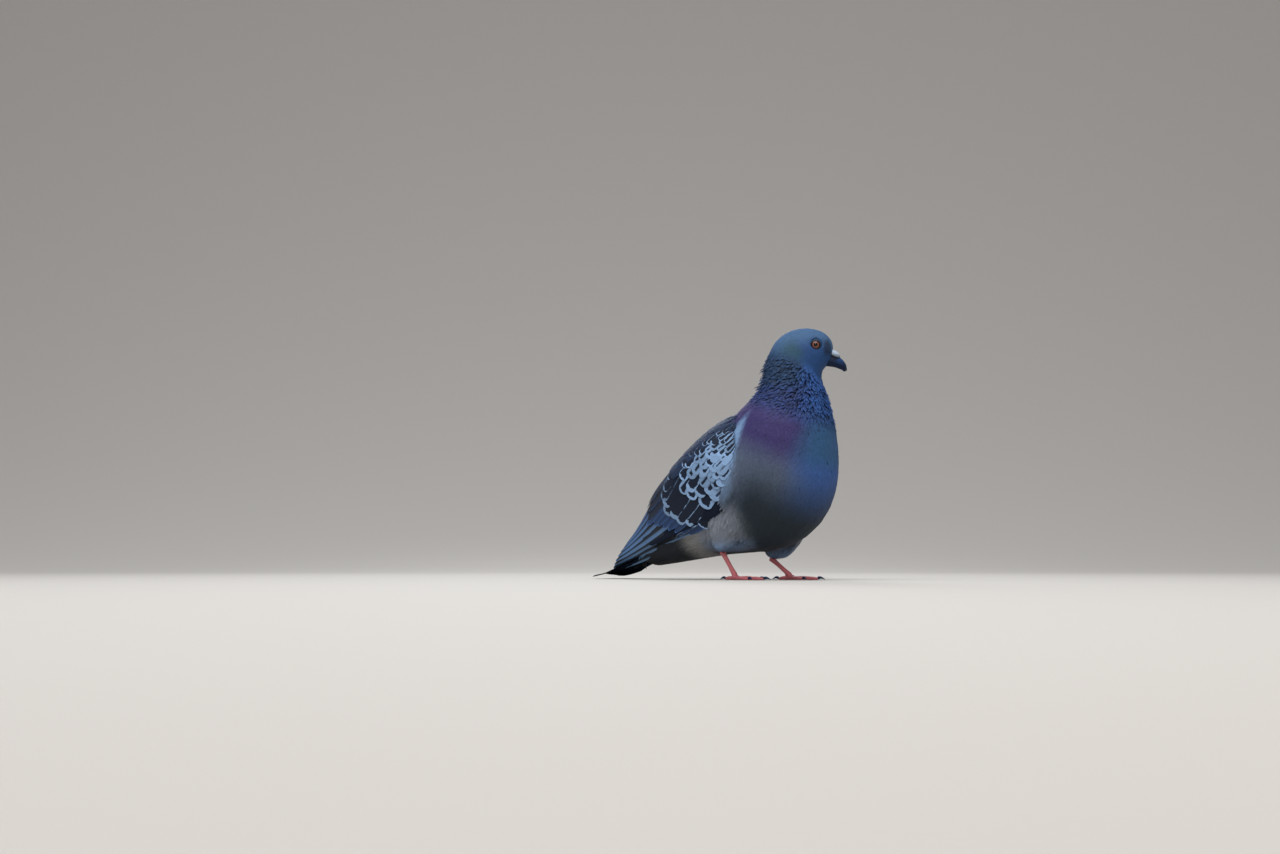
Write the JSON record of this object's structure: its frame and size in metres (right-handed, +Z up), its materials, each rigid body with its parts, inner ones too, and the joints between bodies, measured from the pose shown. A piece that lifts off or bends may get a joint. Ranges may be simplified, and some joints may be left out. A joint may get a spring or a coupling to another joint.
{
  "type": "feral pigeon",
  "caption": "Life-size model of a standing feral pigeon with its head turned aside, a chequered wing, a glossy neck and a closed tail, resting on its toes.",
  "frame": {"origin": "middle of the underside of the bird's box, on the floor that the toes stand on", "axes": "+X the way the breast faces, +Y the bird's left side, +Z up"},
  "size_m": [0.239, 0.1032, 0.2118],
  "materials": {
    "blue_grey_plumage": "short, dense blue-grey head feathers",
    "neck_gloss": "pointed neck feathers, dark blue with a green and a purple gloss",
    "slate_plumage": "soft grey and slate breast, belly and flank feathers",
    "wing_plumage": "wing coverts with dark centres and whitish edges",
    "flight_feather": "smooth dark grey flight and tail feathers",
    "red_skin": "red scaly skin of the legs and toes",
    "dark_horn": "smooth dark horn of the bill and claws",
    "white_cere": "powdery whitish swollen skin over the nostrils",
    "eye": "wet, glossy orange-brown eye with a dark pupil"
  },
  "bodies": {
    "root": {"bill_lower": "dark_horn", "bill_upper": "dark_horn", "cere": "white_cere", "claw_hind_left": "dark_horn", "claw_hind_right": "dark_horn", "claw_inner_left": "dark_horn", "claw_inner_right": "dark_horn", "claw_middle_left": "dark_horn", "claw_middle_right": "dark_horn", "claw_outer_left": "dark_horn", "claw_outer_right": "dark_horn", "eye_left": "eye", "eye_right": "eye", "head": "blue_grey_plumage", "neck": "neck_gloss", "palm_left": "red_skin", "palm_right": "red_skin", "tail": "flight_feather", "tarsus_left": "red_skin", "tarsus_right": "red_skin", "thigh_left": "slate_plumage", "thigh_right": "slate_plumage", "toe_hind_left": "red_skin", "toe_hind_right": "red_skin", "toe_inner_left": "red_skin", "toe_inner_right": "red_skin", "toe_middle_left": "red_skin", "toe_middle_right": "red_skin", "toe_outer_left": "red_skin", "toe_outer_right": "red_skin", "trunk": "slate_plumage", "wing_left_coverts": "wing_plumage", "wing_left_primaries": "flight_feather", "wing_left_secondaries": "flight_feather", "wing_right_coverts": "wing_plumage", "wing_right_primaries": "flight_feather", "wing_right_secondaries": "flight_feather"}
  },
  "joints": []
}
